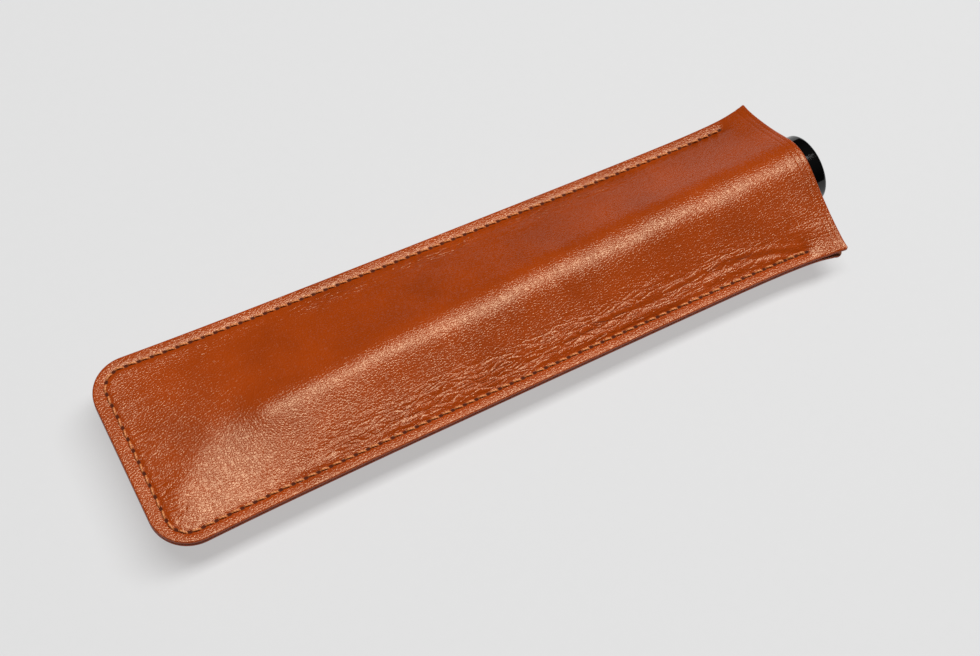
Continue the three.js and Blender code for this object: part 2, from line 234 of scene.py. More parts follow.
# Cartridge, feed and nib
CARTRIDGE_R, CARTRIDGE_NECK_R, CARTRIDGE_END = 3.7, 2.2, 98.5
FEED_STATIONS = (24, 26, 36, 42, 59.7)
FEED_RADII = (0.4, 0.9, 2.0, 2.5, 2.5)
FIN_START, FIN_END, FIN_PITCH, FIN_DEPTH = 30, 41.5, 0.9, 0.3
NIB_TIP, NIB_SHOULDER, NIB_HEEL = 20, 37, 57
NIB_STATIONS = (NIB_TIP, 24, 31, NIB_SHOULDER, 39.5, NIB_HEEL)
NIB_HALF_WIDTHS = (0.4, 1.25, 2.8, 3.7, 2.9, 2.7)
NIB_ROLL_R, NIB_ROLL_OPENS, NIB_DROPS = 3.15, 0.15, 0.085
NIB_THICKNESS, NIB_SLIT, NIB_SLIT_END = 0.3, 0.12, 33

# Where the pen lies
PEN_YAW = math.atan2(PEN_AXIS[1], PEN_AXIS[0])
PEN_Z = (CAP_HIGH[2] + CAP_LOW[2]) / 2
CAP_END_X = CAP_HIGH[0] - (CAP_R - CAP_EDGE_R) * math.sin(PEN_YAW)
CAP_END_Y = 1.05

# Leather's finish: sizes of its pebbles, pores and clouds of dye, depths of its bumps, and the needle slits'
# size with the colour of the shade painted in them
LEATHER_DARK, LEATHER_LIGHT = "#853003", "#963804"
WAX_TINT, GLOSS = "#FFE6BE", (0.22, 0.32)
GRAIN_MM, GRAIN_DEPTH = 0.60, 0.038
PORE_MM, CLOUD_MM = 0.3, 16
WARP_MM, WARP_REACH = 2.5, 0.6
PLATE_DEPTH = 0.15
# Painted shade: the dark colour laid in the needle slits, standing in for the shade inside the holes
SLIT_SHADE_COLOUR = "#431004"
SLIT_HALF_LENGTH, SLIT_HALF_WIDTH = 0.66, 0.38

# The other finishes: sizes and depths of their patterns
NAP_MM, NAP_DEPTH = 0.35, 0.12
FIBRE_MM, FIBRE_DEPTH = 0.3, 0.05
PLY_DEPTH = 0.1
HAZE_MM = 3
MOULD_TEXTURE_MM, MOULD_TEXTURE_DEPTH = 0.15, 0.02
POLISH_MM = 0.1

# Floor, room and light: places and sizes in metres, apart from the flecks, and power in watts
FLOOR_TONES, FLOOR_GLOW, FLOOR_REACH = ("#818181", "#828282"), 0.46, 3.0
FLOOR_FLECK_MM = 2.5
ROOM_LOW, ROOM_HIGH, ROOM_SPAN = 0.02, 0.10, (0.25, 0.95)
KEY_PLACE, KEY_SIZE, KEY_POWER = (0.22, 0.05, 1.1), (1.2, 0.28), 19.8


# ---------------------------------------------------------------- meshes

def piece(name, points, faces, body, materials, replaced, material_index=None):
    """A finished piece: its mesh in metres from points in millimetres, its finish and its body.

    faces is one array of corners, or a list of such arrays with three and four corners."""
    mesh = bpy.data.meshes.new(name)
    groups = faces if isinstance(faces, list) else [faces]
    if enclosed_volume(points, groups) < 0:
        groups = [group[:, ::-1] for group in groups]
    mesh.from_pydata((points * MM).tolist(), [], [face for group in groups for face in group.tolist()])
    for material in materials:
        mesh.materials.append(material)
    if material_index is not None:
        mesh.polygons.foreach_set("material_index", np.asarray(material_index, dtype=np.int32))
    mesh.polygons.foreach_set("use_smooth", np.full(len(mesh.polygons), True))
    mesh.update()
    thing = bpy.data.objects.new(name, mesh)
    bpy.context.scene.collection.objects.link(thing)
    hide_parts(*replaced)
    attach(thing, body)
    return thing


def write_attribute(thing, label, values, kind="FLOAT"):
    """Stores a number, or a vector, at each point of a piece for its material to read."""
    attribute = thing.data.attributes.new(label, kind, "POINT")
    field = "value" if kind == "FLOAT" else "vector"
    attribute.data.foreach_set(field, values.reshape(-1).astype(np.float32))


def enclosed_volume(points, groups):
    """The volume inside closed faces, by adding each one's tetrahedron to the origin: less than
    zero where the faces point inwards."""
    volume = 0.0
    for corners in groups:
        for k in range(1, corners.shape[1] - 1):
            a, b, c = points[corners[:, 0]], points[corners[:, k]], points[corners[:, k + 1]]
            volume += np.einsum("ij,ij->", a, np.cross(b, c)) / 6
    return volume


def grid_faces(rows, columns, first=0, wrap=False, flip=False):
    """Quads between neighbouring rows and columns of a grid of points numbered row by row."""
    i = np.arange(rows - 1)[:, None] * columns
    j = np.arange(columns if wrap else columns - 1)[None, :]
    k = (j + 1) % columns
    quads = np.stack([i + j, i + k, i + columns + k, i + columns + j], -1)
    quads = quads.reshape(-1, 4) + first
    return quads[:, ::-1] if flip else quads


def closed_sheet(outer, inner):
    """Joins a sheet's outer and inner faces, each a grid of points, by a wall round their rims.
    Returns the points, the quads, and how many quads each face and the wall have."""
    rows, columns = outer.shape[:2]
    count = rows * columns
    number = np.arange(count).reshape(rows, columns)
    rim = np.concatenate([number[:-1, 0], number[-1, :-1], number[:0:-1, -1], number[0, :0:-1]])
    ahead = np.roll(rim, -1)
    parts = [grid_faces(rows, columns, flip=True), grid_faces(rows, columns, first=count),
             np.stack([rim, rim + count, ahead + count, ahead], -1)]
    points = np.concatenate([outer.reshape(-1, 3), inner.reshape(-1, 3)])
    return points, np.concatenate(parts), [len(part) for part in parts]


def lattice_noise(u, v, seed):
    """Smooth random field from -1 to 1: random values where u and v are whole, joined by smooth
    steps, on a square of 256 that repeats."""
    size = 256
    lattice = np.random.default_rng(seed).uniform(-1, 1, (size, size))
    iu, iv = np.floor(u).astype(int), np.floor(v).astype(int)
    fu, fv = u - iu, v - iv
    fu, fv = fu * fu * fu * (fu * (6 * fu - 15) + 10), fv * fv * fv * (fv * (6 * fv - 15) + 10)
    a, b = lattice[iu % size, iv % size], lattice[(iu + 1) % size, iv % size]
    c, d = lattice[iu % size, (iv + 1) % size], lattice[(iu + 1) % size, (iv + 1) % size]
    return (a * (1 - fu) + b * fu) * (1 - fv) + (c * (1 - fu) + d * fu) * fv


def ridges(u, v, seed):
    """Thin ridges that reach 1 where the smooth random field crosses 0, and fall to -1 between."""
    return 1 - 2 * np.abs(lattice_noise(u, v, seed))


def smooth_step(low, high, value):
    """0 at low and before it, 1 at high and past it, and an even S between. low may be the larger."""
    t = np.clip((value - low) / (high - low), 0, 1)
    return t * t * (3 - 2 * t)


def bell(value, width):
    """1 where value is 0, falling away over the width as a bell does."""
    return np.exp(-(value / width) ** 2)


# ---------------------------------------------------------------- the sleeve's plan

def corner_loss(into, radius):
    """What a round corner takes off the half width, at a distance into the corner."""
    short = np.maximum(radius - into, 0)
    return radius - np.sqrt(np.maximum(radius * radius - short * short, 0))


def full_half_width(from_toe):
    """Half the width with square toe corners: a slow taper, a flare at the toe and one at the mouth."""
    toe = TOE_FLARE * np.exp(-from_toe / TOE_FLARE_REACH)
    mouth = MOUTH_FLARE * np.exp((from_toe - SLEEVE_LENGTH) / MOUTH_FLARE_REACH)
    return HALF_WIDTH - TAPER * from_toe + toe + mouth


def outline_half_width(from_toe, mouth_round):
    """Half the width with its round toe corners, and mouth corners of radius mouth_round."""
    toe = corner_loss(from_toe, TOE_CORNER_R)
    mouth = corner_loss(SLEEVE_LENGTH - from_toe, mouth_round)
    return full_half_width(from_toe) - toe - mouth


def inside_stitches(from_toe, margin):
    """Half the width inside a line that runs at a margin inside the stitches, and 0 before its toe."""
    into = from_toe - TOE_INSET - margin
    half = full_half_width(from_toe) - SIDE_INSET - margin - corner_loss(into, STITCH_CORNER_R - margin)
    return np.where(into < 0, 0, half)


def round_corner_distance(one_way, other_way, radius):
    """Distance in from two edges that meet in a round corner, from the distances to each."""
    in_corner = (one_way < radius) & (other_way < radius)
    round_way = radius - np.hypot(radius - one_way, radius - other_way)
    return np.where(in_corner, round_way, np.minimum(one_way, other_way))


def edge_distance(from_toe, y, mouth_round):
    """Distance in from the sleeve's outline, round its corners too."""
    to_side = full_half_width(from_toe) - np.abs(y)
    toe = round_corner_distance(from_toe, to_side, TOE_CORNER_R)
    mouth = round_corner_distance(SLEEVE_LENGTH - from_toe, to_side, mouth_round)
    return np.minimum(toe, mouth)


SEAM_SIDE_START = TOE_INSET + STITCH_CORNER_R
SEAM_TOE_HALF = float(full_half_width(SEAM_SIDE_START)) - SIDE_INSET - STITCH_CORNER_R
SEAM_ARC = STITCH_CORNER_R * math.pi / 2
SEAM_SIDE = SEWN_END - SEAM_SIDE_START
SEAM_HALF_TOTAL = SEAM_SIDE + SEAM_ARC + SEAM_TOE_HALF
STITCH_COUNT = int(2 * SEAM_HALF_TOTAL / STITCH_PITCH)
PITCH = 2 * SEAM_HALF_TOTAL / STITCH_COUNT


def seam_place(from_toe, y):
    """Where a point lies by the seam: the run along the stitches from the middle of the toe, with
    y's sign, and the distance inside the row of stitches."""
    across = np.abs(y)
    side_in = full_half_width(from_toe) - SIDE_INSET - across
    toe_in = from_toe - TOE_INSET
    corner_x = SEAM_SIDE_START - from_toe
    corner_y = across - SEAM_TOE_HALF
    in_corner = (corner_x > 0) & (corner_y > 0)
    on_side = (corner_x <= 0) & (side_in < toe_in)
    arc = STITCH_CORNER_R * np.arctan2(corner_y, corner_x)
    run = np.where(on_side, SEAM_TOE_HALF + SEAM_ARC + from_toe - SEAM_SIDE_START, across)
    run = np.where(in_corner, SEAM_TOE_HALF + arc, run)
    inside = np.where(on_side, side_in, np.minimum(toe_in, side_in))
    inside = np.where(in_corner, STITCH_CORNER_R - np.hypot(corner_x, corner_y), inside)
    return run * np.where(y < 0, -1, 1), inside


def seam_point(run, inside=0.0):
    """The distance from the toe and the y of a point at a run along the stitches: seam_place undone."""
    along = np.abs(run)
    angle = np.clip((along - SEAM_TOE_HALF) / STITCH_CORNER_R, 0, math.pi / 2)
    side = np.maximum(along - SEAM_TOE_HALF - SEAM_ARC, 0)
    radius = STITCH_CORNER_R - inside
    from_toe = SEAM_SIDE_START - radius * np.cos(angle) + side
    toe_y = np.minimum(along, SEAM_TOE_HALF) + radius * np.sin(angle)
    side_y = full_half_width(from_toe) - SIDE_INSET - inside
    y = np.where(side > 0, side_y, toe_y)
    return from_toe, y * np.where(run < 0, -1, 1)


# ---------------------------------------------------------------- how the leather settles

def seam_z(x):
    """Height of the seam between the two panels, which rises a little towards the toe."""
    return SEAM_Z + SEAM_TILT * (MOUTH_X - x)


def pen_y(x):
    """The y of the pen's axis, which lies a little askew in the sleeve."""
    return CAP_END_Y - (CAP_END_X - x) * math.tan(PEN_YAW)


def pen_radius(station):
    """The pen's outer radius: a straight cap, a barrel that tapers with the square, a round tail."""
    along = np.clip((station - CAP_LENGTH) / (PEN_LENGTH - CAP_LENGTH), 0, 1)
    straight = BARREL_R + (TAIL_R - BARREL_R) * along * along
    past = np.clip((station - PEN_LENGTH + TAIL_ROUND) / TAIL_ROUND, 0, 1)
    return np.where(station <= CAP_LENGTH, CAP_R, straight * np.sqrt(1 - past * past))


def corner_lift(x, side):
    """How far a panel lifts off the seam at the open corners of the mouth, with the square."""
    past = np.maximum(x - TOE_X - SEWN_END, 0) / UNSEWN
    return CORNER_LIFT[side] * past * past


def held_height(x, y, side):
    """Height above the seam that the pen, or the flat base under it, pushes a panel's outer face to."""
    station = CAP_END_X - x - TAIL_SLACK
    off = y - pen_y(x)
    radius = pen_radius(station) + PEN_CLEARANCE + LEATHER
    over = (station < PEN_LENGTH) & (np.abs(off) < radius)
    arch = side * (PEN_Z - seam_z(x)) + np.sqrt(np.maximum(radius * radius - off * off, 0))
    height = np.where(over, arch, -1e3)
    if side < 0:
        height = np.where((x - TOE_X > BASE_START) & (np.abs(off) <= BASE_HALF_WIDTH), seam_z(x), height)
    return height


def crease_height(from_toe, y, crease):
    """Height of a crease's round back above the seam: its middle is a curve bent by one point, and
    it falls off to both sides as the square of the distance."""
    start, bend, end, high, low = crease
    t = np.linspace(0, 1, 41)[:, None]
    curve = (1 - t) ** 2 * np.array(start) + 2 * t * (1 - t) * np.array(bend) + t * t * np.array(end)
    height = high + (low - high) * t[:, 0] ** 0.85
    away = (from_toe[..., None] - curve[:, 0]) ** 2 + (y[..., None] - curve[:, 1]) ** 2
    return np.max(height - away / (2 * TOE_CREASE_R), axis=-1)


def four_neighbours(height):
    """The sum of each grid point's four neighbours, with the edge's own height beyond the edge."""
    padded = np.pad(height, 1, mode="edge")
    return padded[:-2, 1:-1] + padded[2:, 1:-1] + padded[1:-1, :-2] + padded[1:-1, 2:]


class SettledLeather:
    """The height of a panel's outer face above the seam, as taut leather takes it.

    On a square grid, every point inside the seam settles to the mean of its four neighbours,
    unless the pen holds it higher. The flange stays flat and the mouth's edge is free. The
    leather's stiffness then rounds what would be sharp folds: a few passes of a small blur."""

    STEP = 0.5

    def __init__(self, side):
        self.rows = int(math.ceil(SLEEVE_LENGTH / self.STEP)) + 1
        self.half = int(math.ceil(float(full_half_width(0.0)) / self.STEP)) + 2
        x = TOE_X + np.arange(self.rows)[:, None] * self.STEP
        y = np.arange(-self.half, self.half + 1)[None, :] * self.STEP
        x, y = np.broadcast_arrays(x, y)
        from_toe = x - TOE_X
        flat = FLANGE + corner_lift(x, side)
        held = held_height(x, y, side)
        if side > 0:
            for crease in TOE_CREASES:
                held = np.maximum(held, crease_height(from_toe, y, crease))
        open_side = full_half_width(from_toe) - self.STEP
        pinned = np.where(from_toe > SEWN_END + 1, open_side, inside_stitches(from_toe, SEAM_MARGIN))
        free = np.abs(y) < pinned
        height = self.settle(np.where(free, np.maximum(flat, held), flat), held, free)
        height = self.stiffen(height, held, free, flat, from_toe)
        self.height = np.minimum(height, seam_z(x)) if side < 0 else height

    def settle(self, height, held, free):
        """Moves every second point past its neighbours' mean, then the others, again and again."""
        parity = np.add.outer(np.arange(self.rows), np.arange(2 * self.half + 1)) % 2
        for _ in range(PASSES):
            for colour in (0, 1):
                mean = four_neighbours(height) / 4
                moved = np.maximum(height + OVER_RELAX * (mean - height), held)
                height = np.where(free & (parity == colour), moved, height)
        return height

    def stiffen(self, height, held, free, flat, from_toe):
        """Blurs the height a little everywhere, and more at the toe, where nothing fills it."""
        for _ in range(STIFF_PASSES):
            blurred = (4 * height + four_neighbours(height)) / 8
            height = np.where(free, np.maximum(blurred, held - SINK), flat)
        stiff = 1 - smooth_step(*TOE_STIFF_REACH, from_toe)
        for _ in range(TOE_STIFF_PASSES):
            mean = four_neighbours(height) / 4
            height = np.where(free, height + stiff * (mean - height) / 2, flat)
        return height

    def __call__(self, x, y):
        """Height at any point, straight between the grid's points."""
        u = np.clip((x - TOE_X) / self.STEP, 0, self.rows - 1.001)
        v = np.clip(y / self.STEP + self.half, 0, 2 * self.half - 0.001)
        i, j = np.floor(u).astype(int), np.floor(v).astype(int)
        fu, fv = u - i, v - j
        h = self.height
        near = h[i, j] * (1 - fv) + h[i, j + 1] * fv
        far = h[i + 1, j] * (1 - fv) + h[i + 1, j + 1] * fv
        return near * (1 - fu) + far * fu

    def lean(self, x, y):
        """How many times its thickness the leather measures straight up, where its face slopes."""
        slope_x = (self(x + self.STEP, y) - self(x - self.STEP, y)) / (2 * self.STEP)
        slope_y = (self(x, y + self.STEP) - self(x, y - self.STEP)) / (2 * self.STEP)
        return np.sqrt(1 + slope_x ** 2 + slope_y ** 2)


# ---------------------------------------------------------------- materials

def linear(hex_colour):
    """An sRGB hex colour as linear red, green, blue and alpha."""
    values = [int(hex_colour[i:i + 2], 16) / 255 for i in (1, 3, 5)]
    return [v / 12.92 if v <= 0.04045 else ((v + 0.055) / 1.055) ** 2.4 for v in values] + [1.0]


def set_inputs(tree, node, links, values):
    """Joins inputs to other nodes' outputs, each given as (node, output), and sets the values."""
    for name, value in (values or {}).items():
        node.inputs[name].default_value = value
    for name, (source, output) in (links or {}).items():
        tree.links.new(source.outputs[output], node.inputs[name])


def add(tree, kind, links=None, values=None, **settings):
    """Adds one node with its settings, its links and the values of its other inputs."""
    node = tree.nodes.new(kind)
    for name, value in settings.items():
        setattr(node, name, value)
    set_inputs(tree, node, links, values)
    return node


def new_material(name):
    """A material, its node tree, and the Principled shader in it."""
    material = bpy.data.materials.new(name)
    material.use_nodes = True
    tree = material.node_tree
    return material, tree, tree.nodes["Principled BSDF"]


def repeats(size_mm):
    """A pattern's scale: how many of its size there are in a metre."""
    return 1 / (size_mm * MM)


def two_tone(tree, source, low, high, stops):
    """A ramp between two colours that starts and ends at the two stops of source."""
    ramp = add(tree, "ShaderNodeValToRGB", links={"Fac": source})
    for element, colour, stop in zip(ramp.color_ramp.elements, (low, high), stops):
        element.color = linear(colour)
        element.position = stop
    return ramp


def leather_grain(tree, spot):
    """Rounded pebbles with fine pores over them. Returns the bump, and the pores' noise."""
    warp = add(tree, "ShaderNodeTexNoise", links={"Vector": spot},
               values={"Scale": repeats(WARP_MM), "Detail": 2})
    wander = add(tree, "ShaderNodeVectorMath", links={0: (warp, "Color")},
                 values={1: (WARP_REACH * MM,) * 3}, operation="MULTIPLY")
    moved = add(tree, "ShaderNodeVectorMath", links={0: spot, 1: (wander, 0)}, operation="ADD")
    pebbles = add(tree, "ShaderNodeTexVoronoi", links={"Vector": (moved, 0)},
                  values={"Scale": repeats(GRAIN_MM)}, feature="DISTANCE_TO_EDGE")
    rounded_off = add(tree, "ShaderNodeMapRange", links={"Value": (pebbles, "Distance")},
                      values={"From Max": 0.3}, interpolation_type="SMOOTHSTEP")
    pores = add(tree, "ShaderNodeTexNoise", links={"Vector": spot},
                values={"Scale": repeats(PORE_MM), "Detail": 3, "Roughness": 0.65})
    height = add(tree, "ShaderNodeMath", links={0: (pores, "Fac"), 2: (rounded_off, 0)},
                 values={1: 0.7}, operation="MULTIPLY_ADD")
    grain = add(tree, "ShaderNodeBump", links={"Height": (height, 0)},
                values={"Strength": 1.0, "Distance": GRAIN_DEPTH * MM})
    return grain, pores


def creased_finish(tree, grain):
    """Long narrow plates of the finish that part where the leather was worked, over the grain."""
    place = add(tree, "ShaderNodeAttribute", attribute_name="crease_place")
    creased = add(tree, "ShaderNodeAttribute", attribute_name="creased")
    plates = add(tree, "ShaderNodeTexVoronoi", links={"Vector": (place, "Vector")},
                 values={"Scale": 1.0, "Randomness": 1.0}, feature="DISTANCE_TO_EDGE")
    top = add(tree, "ShaderNodeMapRange", links={"Value": (plates, "Distance")},
              values={"From Max": 0.22}, interpolation_type="SMOOTHSTEP")
    height = add(tree, "ShaderNodeMath", links={0: (top, 0), 1: (creased, "Fac")}, operation="MULTIPLY")
    return add(tree, "ShaderNodeBump", links={"Height": (height, 0), "Normal": (grain, "Normal")},
               values={"Strength": 1.0, "Distance": PLATE_DEPTH * MM})


def needle_slits(tree):
    """1 in the slits that the needle cut and 0 elsewhere: the mask for the shade painted in the holes and for
    their roughness. An ellipse with a soft rim lies at each whole number of the stitch count, by the squares
    of the distances along and across the seam."""
    count = add(tree, "ShaderNodeAttribute", attribute_name="stitch_run")
    inside = add(tree, "ShaderNodeAttribute", attribute_name="seam_inside")
    sewn = add(tree, "ShaderNodeAttribute", attribute_name="sewn")
    from_hole = add(tree, "ShaderNodeMath", links={0: (count, "Fac")}, values={1: 0.5},
                    operation="PINGPONG")
    along = add(tree, "ShaderNodeMath", links={0: (from_hole, 0)},
                values={1: PITCH / SLIT_HALF_LENGTH}, operation="MULTIPLY")
    across = add(tree, "ShaderNodeMath", links={0: (inside, "Fac")},
                 values={1: 1 / SLIT_HALF_WIDTH}, operation="MULTIPLY")
    along_square = add(tree, "ShaderNodeMath", links={0: (along, 0), 1: (along, 0)}, operation="MULTIPLY")
    reach = add(tree, "ShaderNodeMath", links={0: (across, 0), 1: (across, 0), 2: (along_square, 0)},
                operation="MULTIPLY_ADD")
    slit = add(tree, "ShaderNodeMapRange", links={"Value": (reach, 0)},
               values={"From Min": 1.5, "From Max": 0.55}, interpolation_type="SMOOTHSTEP")
    return add(tree, "ShaderNodeMath", links={0: (slit, "Result"), 1: (sewn, "Fac")},
               operation="MULTIPLY")


def full_grain_leather():
    """Vegetable-tanned cowhide, dyed cognac through, waxed: a soft broad shine over fine pebbles, with
    painted shade in the slits where the needle went in. The pebbles are the hide's own, about 0.6 mm across."""
    material, tree, shader = new_material("cognac full-grain leather, waxed")
    spot = (add(tree, "ShaderNodeTexCoord"), "Object")
    clouds = add(tree, "ShaderNodeTexNoise", links={"Vector": spot},
                 values={"Scale": repeats(CLOUD_MM), "Detail": 4, "Roughness": 0.6})
    tone = two_tone(tree, (clouds, "Fac"), LEATHER_DARK, LEATHER_LIGHT, (0.3, 0.72))
    grain, pores = leather_grain(tree, spot)
    bump = creased_finish(tree, grain)
    slit = needle_slits(tree)
    # Painted shade: the slit colour darkens the needle slits as the shade inside the holes would
    colour = add(tree, "ShaderNodeMix", links={"Factor": (slit, 0), 6: (tone, "Color")},
                 values={7: linear(SLIT_SHADE_COLOUR)}, data_type="RGBA")
    gloss = add(tree, "ShaderNodeMapRange", links={"Value": (pores, "Fac")},
                values={"To Min": GLOSS[0], "To Max": GLOSS[1]})
    rough = add(tree, "ShaderNodeMath", links={0: (gloss, 0), 1: (slit, 0)}, operation="MAXIMUM")
    set_inputs(tree, shader, {"Base Color": (colour, 2), "Roughness": (rough, 0), "Normal": (bump, "Normal")},
               {"IOR": 1.55, "Specular Tint": linear(WAX_TINT)})
    return material


def flesh_side():
    """The back of the hide, unfinished: short pale nap with no shine at all."""
    material, tree, shader = new_material("flesh side of the leather, napped")
    spot = (add(tree, "ShaderNodeTexCoord"), "Object")
    nap = add(tree, "ShaderNodeTexNoise", links={"Vector": spot},
              values={"Scale": repeats(NAP_MM), "Detail": 5, "Roughness": 0.75})
    tone = two_tone(tree, (nap, "Fac"), "#7A3E1C", "#A9683B", (0.35, 0.7))
    bump = add(tree, "ShaderNodeBump", links={"Height": (nap, "Fac")},
               values={"Strength": 0.7, "Distance": NAP_DEPTH * MM})
    set_inputs(tree, shader, {"Base Color": (tone, "Color"), "Normal": (bump, "Normal")},
               {"Roughness": 0.95, "Sheen Weight": 0.25, "Sheen Roughness": 0.5})
    return material


def dressed_edge():
    """Cut edge of the hide, stained red-brown and burnished with wax: streaks along the cut."""
    material, tree, shader = new_material("stained and burnished leather edge")
    spot = (add(tree, "ShaderNodeTexCoord"), "Object")
    layers = add(tree, "ShaderNodeMapping", links={"Vector": spot}, values={"Scale": (0.15, 0.4, 1)})
    fibres = add(tree, "ShaderNodeTexNoise", links={"Vector": (layers, "Vector")},
                 values={"Scale": repeats(FIBRE_MM), "Detail": 3})
    tone = two_tone(tree, (fibres, "Fac"), "#8A2C0C", "#B8481A", (0.3, 0.75))
    bump = add(tree, "ShaderNodeBump", links={"Height": (fibres, "Fac")},
               values={"Strength": 0.35, "Distance": FIBRE_DEPTH * MM})
    set_inputs(tree, shader, {"Base Color": (tone, "Color"), "Normal": (bump, "Normal")},
               {"Roughness": 0.5, "Specular IOR Level": 0.1, "Specular Tint": linear(WAX_TINT)})
    return material


def bonded_thread():
    """Bonded polyester sewing thread, tan: two plies with a dull waxy shine, and painted shade in the grooves
    between the plies.
    """
    material, tree, shader = new_material("bonded polyester thread, tan")
    twist = add(tree, "ShaderNodeAttribute", attribute_name="twist")
    turns = add(tree, "ShaderNodeMath", links={0: (twist, "Fac")}, values={1: 0.5}, operation="PINGPONG")
    # Painted shade: darker where the plies meet in their groove, lighter on each ply's crown
    tone = two_tone(tree, (turns, 0), "#9C4A1C", "#C97E46", (0.0, 0.3))
    bump = add(tree, "ShaderNodeBump", links={"Height": (turns, 0)},
               values={"Strength": 0.6, "Distance": PLY_DEPTH * MM})
    set_inputs(tree, shader, {"Base Color": (tone, "Color"), "Normal": (bump, "Normal")},
               {"Roughness": 0.55})
    return material


def polished_resin():
    """Cast acrylic resin, black, turned and polished: mirror gloss with the faintest haze."""
    material, tree, shader = new_material("polished black acrylic resin")
    spot = (add(tree, "ShaderNodeTexCoord"), "Object")
    haze = add(tree, "ShaderNodeTexNoise", links={"Vector": spot},
               values={"Scale": repeats(HAZE_MM), "Detail": 6})
    gloss = add(tree, "ShaderNodeMapRange", links={"Value": (haze, "Fac")},
                values={"To Min": 0.03, "To Max": 0.1})
    set_inputs(tree, shader, {"Roughness": (gloss, 0)}, {"Base Color": linear("#030303"), "IOR": 1.42})
    return material


def moulded_plastic(name, hex_colour, roughness):
    """Moulded plastic: even colour, satin, with the mould's very fine texture."""
    material, tree, shader = new_material(name)
    spot = (add(tree, "ShaderNodeTexCoord"), "Object")
    skin = add(tree, "ShaderNodeTexNoise", links={"Vector": spot},
               values={"Scale": repeats(MOULD_TEXTURE_MM), "Detail": 2})
    bump = add(tree, "ShaderNodeBump", links={"Height": (skin, "Fac")},
               values={"Strength": 0.2, "Distance": MOULD_TEXTURE_DEPTH * MM})
    set_inputs(tree, shader, {"Normal": (bump, "Normal")},
               {"Base Color": linear(hex_colour), "Roughness": roughness})
    return material


def gold_nib():
    """Gold-plated stainless steel, polished: warm metal with faint polishing lines."""
    material, tree, shader = new_material("gold-plated steel, polished")
    spot = (add(tree, "ShaderNodeTexCoord"), "Object")
    lines = add(tree, "ShaderNodeMapping", links={"Vector": spot}, values={"Scale": (0.08, 1, 1)})
    polish = add(tree, "ShaderNodeTexNoise", links={"Vector": (lines, "Vector")},
                 values={"Scale": repeats(POLISH_MM), "Detail": 3})
    gloss = add(tree, "ShaderNodeMapRange", links={"Value": (polish, "Fac")},
                values={"To Min": 0.12, "To Max": 0.26})
    set_inputs(tree, shader, {"Roughness": (gloss, 0)},
               {"Base Color": linear("#E7C271"), "Metallic": 1.0})
    return material


leather = full_grain_leather()
flesh = flesh_side()
edge_dressing = dressed_edge()
thread = bonded_thread()
resin = polished_resin()
black_plastic = moulded_plastic("moulded black ABS plastic", "#121213", 0.4)
cartridge_plastic = moulded_plastic("polyethylene cartridge full of blue ink", "#1A2C6E", 0.28)
gold = gold_nib()


# ---------------------------------------------------------------- the two panels

def edge_steps():
    """Distances in from a panel's rim that follow its quarter-round edge."""
    return EDGE_ROUND * (1 - np.cos(np.linspace(0, math.pi / 2, 5)))


def panel_stations():
    """Distances from the toe of a panel's rows: close together round the toe's edge, over the toe's
    stitches and over the tooled lines at the mouth, and half a millimetre apart between."""
    edge = edge_steps()
    seam = TOE_INSET + np.linspace(-0.9, 0.9, 13)
    corner = np.linspace(seam[-1], SEAM_SIDE_START, 13)[1:]
    body_end = SLEEVE_LENGTH - TOOLED_WIDTH
    body = np.linspace(SEAM_SIDE_START, body_end, BODY_ROWS)[1:]
    tooled = np.linspace(body_end, SLEEVE_LENGTH - EDGE_ROUND, TOOLED_ROWS)[1:-1]
    flange = [0.6, 1.0, 1.5, 2.0]
    return np.concatenate([edge, flange, seam, corner, body, tooled, SLEEVE_LENGTH - edge[::-1]])


def panel_offsets():
    """Distances in from the side edges of a panel's outer columns: the round edge, then the seam."""
    return np.concatenate([edge_steps(), [0.65, 1.0, 1.4], SIDE_INSET + np.linspace(-0.8, 0.8, 11)])


def seam_detail(from_toe, y):
    """Relief along the seam: a shallow channel, a pit at each needle hole, a puff of leather
    between the holes on the pocket's side."""
    run, inside = seam_place(from_toe, y)
    count = (run + SEAM_HALF_TOTAL) / PITCH
    from_hole = np.abs(count - np.round(count)) * PITCH
    sewn = 1 - smooth_step(*SEAM_END_FADE, np.abs(run) - SEAM_HALF_TOTAL)
    channel = -CHANNEL_DEPTH * bell(inside, CHANNEL_REACH)
    pit = -PIT_DEPTH * bell(inside, PIT_ACROSS) * bell(from_hole, PIT_ALONG)
    puff = PUFF_HEIGHT * bell(inside - PUFF_IN, PUFF_REACH) * (1 - bell(from_hole, PUFF_GAP))
    return sewn * (channel + pit + puff)


